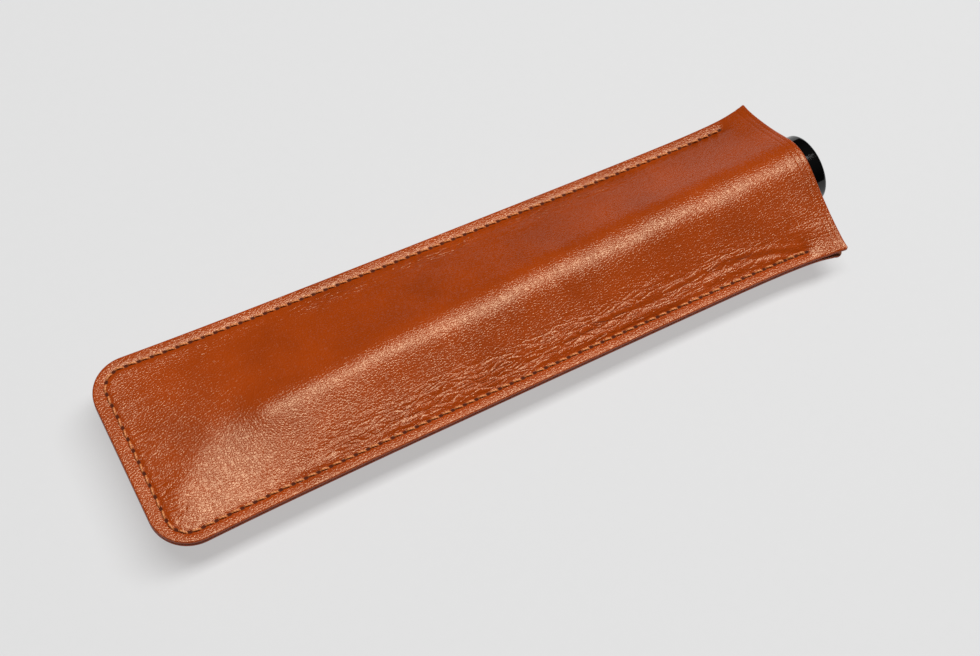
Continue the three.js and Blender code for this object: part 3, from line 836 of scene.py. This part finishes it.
def wrinkles(from_toe, y, side):
    """Creases in the leather: long fine ones beside the seams, short ones square to the toe's
    seam, and a slow unevenness everywhere inside."""
    run, inside = seam_place(from_toe, y)
    seed = FRONT_SEED if side > 0 else BACK_SEED
    near = smooth_step(2, -6, y)
    far = smooth_step(6, 12, y) * bell(from_toe - 100, 38)
    stretch = smooth_step(*WRINKLES_RISE, from_toe) * (1 - 0.5 * smooth_step(*WRINKLES_FADE, from_toe))
    band = bell(inside - WRINKLES_IN, WRINKLES_REACH) * smooth_step(0.3, 1.4, inside)
    wander = WANDER * lattice_noise(from_toe / 16, y / 7, seed)
    length, spacing = LONG_WRINKLE
    long_ones = ridges(from_toe / length + 0.3 * wander, (inside + wander) / spacing, seed + 1)
    length, spacing = FINE_WRINKLE
    fine_ones = ridges(from_toe / length, (inside + 0.5 * wander) / spacing, seed + 2)
    height = WRINKLE_HEIGHT + NEAR_WRINKLE_HEIGHT * near + FAR_WRINKLE_HEIGHT * far
    beside = height * stretch * band * (long_ones + 0.55 * fine_ones)
    toe_band = bell(from_toe - 7, 6) * smooth_step(0.2, 1.6, inside)
    pucker = PUCKER_HEIGHT * toe_band * lattice_noise(run / PUCKER_WIDTH, inside / PUCKER_LENGTH, seed + 3)
    wide = WIDE_DENT_HEIGHT * lattice_noise(from_toe / WIDE_DENT[0], y / WIDE_DENT[1], seed + 4)
    small = SMALL_DENT_HEIGHT * lattice_noise(from_toe / SMALL_DENT[0], y / SMALL_DENT[1], seed + 5)
    return beside + pucker + (wide + small) * smooth_step(0.5, 5, inside)


def crease_pattern(from_toe, y):
    """Where the finish is creased, from 0 to 1, and the stretched coordinates its plates lie on:
    along the seams beside the sides, and square to the seam at the toe."""
    run, inside = seam_place(from_toe, y)
    clear = smooth_step(0.3, 1.0, inside)
    beside_near = smooth_step(1, -5, y) * bell(inside - 3.4, 3.2) * smooth_step(16, 55, from_toe)
    beside_near *= 1 - 0.75 * smooth_step(140, 165, from_toe)
    beside_far = FAR_PLATES * smooth_step(6, 12, y) * bell(inside - 2.4, 2.6) * bell(from_toe - 95, 50)
    on_toe = smooth_step(9.5, 6, from_toe) * smooth_step(19, 15.5, np.abs(y))
    on_toe *= 0.45 - 0.4 * np.clip(y / 18, -1, 1)
    uneven = 0.75 + 0.5 * lattice_noise(from_toe / 9, y / 4, PLATE_SEED)
    strength = clear * (beside_near + beside_far + on_toe) * uneven
    at_toe = from_toe < TOE_PLATES_END
    wander = 0.5 * lattice_noise(from_toe / 5, y / 5, PLATE_SEED + 1)
    along = np.where(at_toe, run / TOE_PLATE_WIDTH, run / PLATE_LENGTH)
    across = np.where(at_toe, inside / TOE_PLATE_LENGTH, inside / PLATE_WIDTH + wander)
    return np.clip(strength, 0, 1), along, across


def near_fold(from_toe, y):
    """The one deep fold, where the slope meets the flat strip beside the near seam: a narrow valley
    with a puffed strip outside it and a low roll inside it. It runs into the last stitch."""
    _, inside = seam_place(from_toe, y)
    uneven = 0.25 * lattice_noise(from_toe / 5, 0 * y, FOLD_SEED)
    away = inside - (np.interp(from_toe, FOLD_STATIONS, FOLD_INSIDE) + uneven)
    there = smooth_step(*FOLD_RISE, from_toe) * (1 - smooth_step(*FOLD_FADE, from_toe)) * (y < 0)
    valley = -VALLEY_DEPTH * bell(away, VALLEY_REACH)
    strip = STRIP_HEIGHT * bell(away + STRIP_OUT, STRIP_REACH)
    roll = ROLL_HEIGHT * bell(away - ROLL_IN, ROLL_REACH)
    return there * smooth_step(0.2, 0.9, inside) * (valley + strip + roll)


def mouth_creases(from_toe, y):
    """Short fine creases square to the pen, fanned over its back where the mouth was bent."""
    there = bell(from_toe - 161, 9) * bell(y + 1.5, 6)
    fan = from_toe + 0.12 * (y + 2) * (from_toe - 150) / 10
    spacing, length = MOUTH_CREASE
    return MOUTH_CREASE_HEIGHT * there * lattice_noise(fan / spacing, y / length, MOUTH_SEED)


def tooled_lines(from_toe):
    """Two lines pressed with a hot creaser along the mouth."""
    in_from_mouth = SLEEVE_LENGTH - from_toe
    return -TOOLED_DEPTH * sum(bell(in_from_mouth - line, TOOLED_REACH) for line in TOOLED_LINES)


def edge_drop(from_toe, y, mouth_round):
    """How far the rounded rim falls below the face: a quarter circle."""
    short = np.maximum(EDGE_ROUND - edge_distance(from_toe, y, mouth_round), 0)
    return EDGE_ROUND - np.sqrt(np.maximum(EDGE_ROUND ** 2 - short ** 2, 0))


def panel(name, side, replaced):
    """One panel of leather: an outer face that settles over the pen, an inner face one thickness
    behind it, and a rim that joins them."""
    settled = SettledLeather(side)
    station = panel_stations()[:, None]
    offsets = panel_offsets()
    half = outline_half_width(station, MOUTH_ROUND[side])
    middle = np.linspace(-1, 1, INNER_COLUMNS + 1)[None, 1:-1] * (half - offsets[-1])
    y = np.concatenate([offsets[None, :] - half, middle, half - offsets[None, ::-1]], axis=1)
    from_toe = np.broadcast_to(station, y.shape)
    x = TOE_X + from_toe
    height = settled(x, y)
    detail = seam_detail(from_toe, y) + wrinkles(from_toe, y, side) + tooled_lines(from_toe)
    if side > 0:
        detail = detail + near_fold(from_toe, y) + mouth_creases(from_toe, y)
    drop = edge_drop(from_toe, y, MOUTH_ROUND[side])
    outer_z = np.maximum(seam_z(x) + side * (height + detail - drop), 0)
    inner_z = seam_z(x) + side * (height - LEATHER * settled.lean(x, y) + INNER_EDGE_SHARE * drop)
    outer, inner = np.stack([x, y, outer_z], -1), np.stack([x, y, inner_z], -1)
    points, faces, quads_in_each = closed_sheet(outer, inner)
    finish_of_each = np.repeat([0, 1, 2], quads_in_each)
    thing = piece(name, points, faces, "sleeve", [leather, flesh, edge_dressing],
                  replaced, finish_of_each)
    mark_seam(thing, from_toe, y)
    return settled


def mark_seam(thing, from_toe, y):
    """Stores what the leather's finish reads on both faces: the stitch count, the distance inside
    the seam, whether it is sewn there, and the finish's creases."""
    run, inside = seam_place(from_toe, y)
    sewn = (np.abs(run) < SEAM_HALF_TOTAL + 0.6).astype(float)
    creased, crease_along, crease_across = crease_pattern(from_toe, y)
    both = {"stitch_run": (run + SEAM_HALF_TOTAL) / PITCH, "seam_inside": inside,
            "sewn": sewn, "creased": creased}
    for label, values in both.items():
        write_attribute(thing, label, np.tile(values.reshape(-1), 2))
    places = np.stack([crease_along, crease_across, np.zeros_like(run)], -1).reshape(-1, 3)
    write_attribute(thing, "crease_place", np.tile(places, (2, 1)), "FLOAT_VECTOR")


front_leather = panel("front_panel_leather", 1, ["front_panel"])
back_leather = panel("back_panel_leather", -1, ["back_panel"])


# ---------------------------------------------------------------- stitches

def stitches(name, side, settled, replaced):
    """The thread on one face: each stitch is a short round strand that comes up out of one hole,
    crosses over to the next with a slant, and goes down into it. Its ends lie below the face and
    its middle just on it, as half a sine wave. The first and last ones are sewn over twice."""
    holes = np.arange(STITCH_COUNT) * PITCH - SEAM_HALF_TOTAL
    again = np.arange(BACKTACK) * PITCH
    start = np.concatenate([holes, again - SEAM_HALF_TOTAL, SEAM_HALF_TOTAL - again - PITCH])[:, None]
    lift = np.repeat([0, BACKTACK_LIFT], [STITCH_COUNT, 2 * BACKTACK])[:, None]
    t = np.linspace(0, 1, STITCH_RINGS)
    rise = np.sin(math.pi * t)
    run = start + (STITCH_START + STITCH_SPAN * t) * PITCH
    aside = STITCH_SLANT * (t - 0.5) * side + 0.35 * lift
    height = -STITCH_SINK + STITCH_ARCH * rise ** 0.6 + lift * rise
    from_toe, y = seam_point(run, aside)
    x = TOE_X + from_toe
    z = seam_z(x) + side * (settled(x, y) + seam_detail(from_toe, y) * 0.2 + height)
    middle = np.stack([x, y, z], -1)
    ahead = np.gradient(middle, axis=1)
    ahead /= np.linalg.norm(ahead, axis=-1, keepdims=True)
    across = np.cross(ahead, [0, 0, 1.0])
    across /= np.linalg.norm(across, axis=-1, keepdims=True)
    up = np.cross(across, ahead)
    turn = np.arange(STITCH_SIDES) * 2 * math.pi / STITCH_SIDES
    radius = THREAD_D / 2 * (1 - 0.35 * (1 - rise) ** 2)
    round_it = np.cos(turn)[:, None] * across[:, :, None, :] + np.sin(turn)[:, None] * up[:, :, None, :]
    points = middle[:, :, None, :] + radius[None, :, None, None] * round_it
    one = STITCH_RINGS * STITCH_SIDES
    first = (np.arange(len(start)) * one)[:, None, None]
    sides = (grid_faces(STITCH_RINGS, STITCH_SIDES, wrap=True)[None] + first).reshape(-1, 4)
    ring = np.arange(STITCH_SIDES)
    ends = (np.stack([ring[::-1], ring + one - STITCH_SIDES])[None] + first).reshape(-1, STITCH_SIDES)
    thing = piece(name, points.reshape(-1, 3), [sides[:, ::-1], ends[:, ::-1]],
                  "sleeve", [thread], replaced)
    twist = np.broadcast_to(run[:, :, None] / TWIST_LENGTH + turn / (2 * math.pi), points.shape[:3])
    write_attribute(thing, "twist", twist)


stitches("needle_thread_stitches", 1, front_leather, ["needle_thread"])
stitches("bobbin_thread_stitches", -1, back_leather, ["bobbin_thread"])


# ---------------------------------------------------------------- the pen

PEN_BACK = np.array([-math.cos(PEN_YAW), -math.sin(PEN_YAW), 0.0])
PEN_SIDE = np.array([math.sin(PEN_YAW), -math.cos(PEN_YAW), 0.0])
PEN_START = np.array([CAP_END_X, CAP_END_Y, PEN_Z])


def pen_point(station, across, up):
    """A point by the pen's axis: its station from the cap's end, then how far across and up it is."""
    station, across, up = np.broadcast_arrays(station, across, up)
    place = PEN_START + station[..., None] * PEN_BACK + across[..., None] * PEN_SIDE
    return place + up[..., None] * np.array([0, 0, 1.0])


def rounded(corners, radius, steps=5):
    """A profile's corners with the sharp ones taken off by arcs: each point is (station, radius),
    and a third number gives that corner its own rounding. The first and last points stay."""
    path = [np.array(corners[0][:2], float)]
    for before, corner, after in zip(corners, corners[1:], corners[2:]):
        spot = np.array(corner[:2], float)
        back, ahead = np.array(before[:2]) - spot, np.array(after[:2]) - spot
        back_length, ahead_length = np.linalg.norm(back), np.linalg.norm(ahead)
        cut = min(corner[2] if len(corner) > 2 else radius, back_length / 2.01, ahead_length / 2.01)
        first, last = spot + back / back_length * cut, spot + ahead / ahead_length * cut
        t = np.linspace(0, 1, steps)[:, None]
        path.extend((1 - t) ** 2 * first + 2 * t * (1 - t) * spot + t * t * last)
    path.append(np.array(corners[-1][:2], float))
    return np.array(path)


def turned(name, profile, body, material, replaced, relief=None):
    """A turned piece: its profile carried round the pen's axis. A profile that starts and ends on
    the axis closes there in a fan, and any other closes on itself. relief adds to the radius by
    station and angle, as a screw thread does."""
    angle = np.arange(AROUND) * 2 * math.pi / AROUND
    on_axis = profile[0, 1] == 0
    rings = profile[1:-1] if on_axis else profile
    station, radius = np.broadcast_arrays(rings[:, :1], rings[:, 1:], angle)[:2]
    if relief is not None:
        radius = radius + relief(station, radius, angle)
    points = pen_point(station, radius * np.cos(angle), radius * np.sin(angle)).reshape(-1, 3)
    rows = len(rings)
    faces = [grid_faces(rows, AROUND, wrap=True)]
    ring = np.arange(AROUND)
    ahead = (ring + 1) % AROUND
    last = (rows - 1) * AROUND
    if on_axis:
        ends = pen_point(profile[[0, -1], 0], 0.0, 0.0)
        points = np.concatenate([points, ends])
        faces.append(np.stack([np.full(AROUND, rows * AROUND), ahead, ring], -1))
        faces.append(np.stack([np.full(AROUND, rows * AROUND + 1), last + ring, last + ahead], -1))
    else:
        faces.append(np.stack([last + ring, last + ahead, ahead, ring], -1))
    piece(name, points, faces, body, [material], replaced)


def screw(start, end, at_radius, share):
    """Relief of a screw thread between two stations on the wall at one radius: a rounded ridge
    that winds one pitch a turn and fades at both ends. share is its part of the full depth, and
    less than 0 on a bore, where it stands inwards."""
    def relief(station, radius, angle):
        wave = np.sin(2 * math.pi * (station / SCREW_PITCH - angle / (2 * math.pi)))
        rises = smooth_step(start, start + SCREW_FADE, station)
        falls = smooth_step(end - SCREW_FADE, end, station)
        on_wall = np.abs(radius - at_radius) < 0.01
        return share * SCREW_DEPTH * np.maximum(wave, -0.2) * rises * (1 - falls) * on_wall
    return relief


def stations_between(start, end, step, radius):
    """Evenly spaced points of a straight wall, for a screw thread to shape."""
    along = np.linspace(start, end, int(abs(end - start) / step) + 1)
    return [(s, radius) for s in along]


def make_cap():
    """A plain tube with a polished flat end, its bore wider where it screws on the barrel."""
    liner_end = SECTION_FRONT + 2
    outside = [(0, 0), (0, CAP_R, CAP_EDGE_R), (CAP_LENGTH, CAP_R, 0.35), (CAP_LENGTH, CAP_BORE, 0.25)]
    bore = [(liner_end, CAP_BORE, 0.1), (liner_end, CAP_LINER_BORE, 0.2)]
    inside = [(CAP_TOP, CAP_LINER_BORE, 0.5), (CAP_TOP, 0)]
    profile = rounded(outside + bore + inside, 0.2)
    wall = np.abs(profile[:, 1] - CAP_BORE) < 1e-6
    first = int(np.argmax(wall & (profile[:, 0] < CAP_LENGTH - 0.2)))
    screw_wall = np.array(stations_between(CAP_LENGTH - 0.3, liner_end + 0.2, SCREW_STEP, CAP_BORE))
    profile = np.concatenate([profile[:first], screw_wall, profile[first + 1:]])
    relief = screw(SECTION_BACK - 0.5, SECTION_BACK + 4.5, CAP_BORE, -0.35)
    turned("cap_of_pen", profile, "cap", resin, ["cap"], relief)


def make_inner_cap():
    """The liner that closes round the nib."""
    front, back = CAP_TOP + FIT_GAP, SECTION_FRONT - FIT_GAP
    outer, inner = CAP_LINER_BORE - FIT_GAP, INNER_CAP_BORE
    corners = [(front, 0), (front, outer), (back, outer), (back, inner), (front + 1, inner), (front + 1, 0)]
    turned("inner_cap_liner", rounded(corners, 0.3), "cap", black_plastic, ["inner_cap"])


def make_barrel():
    """A round tail, a long taper, a shoulder, and the neck with its screw thread. The bore steps
    down behind the grip's tenon to the cartridge's width."""
    neck_start, shoulder = SECTION_BACK, CAP_LENGTH + FIT_GAP
    tail = PEN_LENGTH - TAIL_ROUND * (1 - np.sin(np.linspace(0, math.pi / 2, 20)[1:-1]))
    taper = np.linspace(shoulder + 0.35, PEN_LENGTH - TAIL_ROUND, 60)
    outside = [(s, float(pen_radius(s))) for s in np.concatenate([taper, tail])]
    collar = [(shoulder, NECK_R), (shoulder, BARREL_R - 0.3), (shoulder + 0.1, BARREL_R - 0.1)]
    wall = stations_between(neck_start + 0.4, shoulder - 0.1, SCREW_STEP, NECK_R)
    neck = rounded([(neck_start, TENON_BORE), (neck_start, NECK_R), (neck_start + 2, NECK_R)], 0.3)[1:-1]
    bore = [(neck_start + 0.3, TENON_BORE), (BORE_STEP - BORE_CHAMFER, TENON_BORE),
            (BORE_STEP, TENON_BORE - BORE_CHAMFER), (BORE_STEP, CARTRIDGE_BORE + BORE_CHAMFER),
            (BORE_STEP + BORE_CHAMFER, CARTRIDGE_BORE), (BORE_END, CARTRIDGE_BORE)]
    profile = np.array([(PEN_LENGTH, 0)] + outside[::-1] + collar[::-1] + wall[::-1]
                       + [tuple(p) for p in neck[::-1]] + bore + [(BORE_END, 0)])
    relief = screw(neck_start + SCREW_FADE, shoulder - SCREW_FADE, NECK_R, 1)
    turned("barrel_of_pen", profile, "pen", resin, ["barrel"], relief)


def make_grip_section():
    """The grip: a waist between two lips, and the tenon that screws into the barrel. The feed and
    the nib sit in its front bore, and a thin web with the ink's hole closes it."""
    back, collar = SECTION_TENON, SECTION_BACK - FIT_GAP
    tenon = [(back, TENON_INSIDE_R), (back, TENON_R), (collar, TENON_R), (collar, COLLAR_R)]
    front = [(SECTION_FRONT, LIP_R, 0.2), (SECTION_FRONT, FEED_BORE), (WEB_START, FEED_BORE)]
    web = [(WEB_START, INK_HOLE), (WEB_END, INK_HOLE), (WEB_END, TENON_INSIDE_R), (back, TENON_INSIDE_R)]
    profile = rounded(tenon + WAIST + front + web, 0.15)[:-1]
    turned("grip_section_of_pen", profile, "pen", resin, ["grip_section"])


def make_cartridge():
    """An ink cartridge: a moulded tube with a shoulder and a narrow neck that the feed pierces."""
    front = WEB_END + FIT_GAP
    neck = [(front, 0), (front, CARTRIDGE_NECK_R, 0.3), (WEB_END + 2.5, CARTRIDGE_NECK_R, 0.4)]
    tube = [(WEB_END + 3.6, CARTRIDGE_R, 0.8), (CARTRIDGE_END, CARTRIDGE_R, 0.7), (CARTRIDGE_END + 0.4, 0)]
    turned("cartridge_of_ink", rounded(neck + tube, 0.3), "pen",
           cartridge_plastic, ["ink_cartridge"])


def make_feed():
    """The feed: a round bar that tapers to the nib's tip, cut round with thin fins that hold ink."""
    start, _, fins_middle, full, end = FEED_STATIONS
    stations = np.concatenate([np.linspace(start, fins_middle, 70), np.linspace(fins_middle, full, 70)[1:],
                               np.linspace(full, end, 20)[1:]])
    body = np.interp(stations, FEED_STATIONS, FEED_RADII)
    finned = (stations > FIN_START) & (stations < FIN_END)
    cut = finned * FIN_DEPTH * (np.sin(2 * math.pi * stations / FIN_PITCH) < 0)
    profile = np.concatenate([[(start, 0)], np.stack([stations, body - cut], -1), [(end, 0)]])
    turned("feed_of_pen", profile, "pen", black_plastic, ["feed"])


def make_nib():
    """The nib: one sheet of metal rolled round the feed. Its half width shrinks from the shoulder
    to the tip, its roll flattens towards the tip, and a groove for its slit runs up its middle."""
    stations = np.concatenate([np.linspace(NIB_TIP, NIB_SHOULDER, 60),
                               np.linspace(NIB_SHOULDER, NIB_HEEL, 24)[1:]])[:, None]
    half = np.interp(stations, NIB_STATIONS, NIB_HALF_WIDTHS)
    across = np.linspace(-1, 1, 33)[None, :] * half
    out = np.maximum(NIB_SHOULDER - stations, 0)
    radius = NIB_ROLL_R + NIB_ROLL_OPENS * out
    crown = NIB_ROLL_R - NIB_DROPS * out
    bend = across / radius
    groove = NIB_SLIT * (np.abs(across) < NIB_SLIT) * (stations < NIB_SLIT_END)
    outer, inner = [pen_point(stations, r * np.sin(bend), crown - radius + r * np.cos(bend))
                    for r in (radius - groove, radius - NIB_THICKNESS)]
    points, faces, _ = closed_sheet(outer, inner)
    piece("nib_of_pen", points, faces, "pen", [gold], ["nib"])


make_cap()
make_inner_cap()
make_barrel()
make_grip_section()
make_feed()
make_nib()
make_cartridge()


# ---------------------------------------------------------------- floor and light

def make_floor():
    """A light table's matt acrylic sheet: its own faint glow softens the shadows that lie on it."""
    material, tree, shader = new_material("matt white acrylic of a light table")
    spot = (add(tree, "ShaderNodeTexCoord"), "Object")
    flecks = add(tree, "ShaderNodeTexNoise", links={"Vector": spot},
                 values={"Scale": repeats(FLOOR_FLECK_MM), "Detail": 3})
    tone = two_tone(tree, (flecks, "Fac"), *FLOOR_TONES, (0.3, 0.7))
    set_inputs(tree, shader, {"Base Color": (tone, "Color")},
               {"Roughness": 0.8, "Specular IOR Level": 0.1,
                "Emission Color": linear("#FFFFFF"), "Emission Strength": FLOOR_GLOW})
    mesh = bpy.data.meshes.new("floor")
    corners = [(-1, -1), (1, -1), (1, 1), (-1, 1)]
    mesh.from_pydata([(x * FLOOR_REACH, y * FLOOR_REACH, 0) for x, y in corners], [], [(0, 1, 2, 3)])
    mesh.materials.append(material)
    floor = bpy.data.objects.new("floor", mesh)
    bpy.context.scene.collection.objects.link(floor)


def area_light(name, place, size, power):
    """A long studio light at a place, its length along X, turned to face the sleeve."""
    data = bpy.data.lights.new(name, "AREA")
    data.shape = "RECTANGLE"
    data.size, data.size_y = size
    data.energy = power
    back = Vector(place).normalized()
    across = back.cross(Vector((1, 0, 0))).normalized()
    turn = Matrix((across.cross(back), across, back)).transposed().to_4x4()
    lamp = bpy.data.objects.new(name, data)
    lamp.matrix_world = Matrix.Translation(place) @ turn
    bpy.context.scene.collection.objects.link(lamp)


def studio():
    """One long soft key overhead, along the sleeve, and a dim room that is paler above."""
    area_light("key", KEY_PLACE, KEY_SIZE, KEY_POWER)
    world = bpy.data.worlds.new("pale room")
    world.use_nodes = True
    tree = world.node_tree
    place = add(tree, "ShaderNodeTexCoord")
    height = add(tree, "ShaderNodeSeparateXYZ", links={"Vector": (place, "Generated")})
    shade = add(tree, "ShaderNodeMapRange", links={"Value": (height, "Z")},
                values={"From Min": ROOM_SPAN[0], "From Max": ROOM_SPAN[1],
                        "To Min": ROOM_LOW, "To Max": ROOM_HIGH}, interpolation_type="SMOOTHSTEP")
    set_inputs(tree, tree.nodes["Background"], {"Strength": (shade, "Result")}, {"Color": linear("#F4F6F8")})
    bpy.context.scene.world = world


make_floor()
studio()
bpy.context.scene.view_settings.view_transform = "Standard"
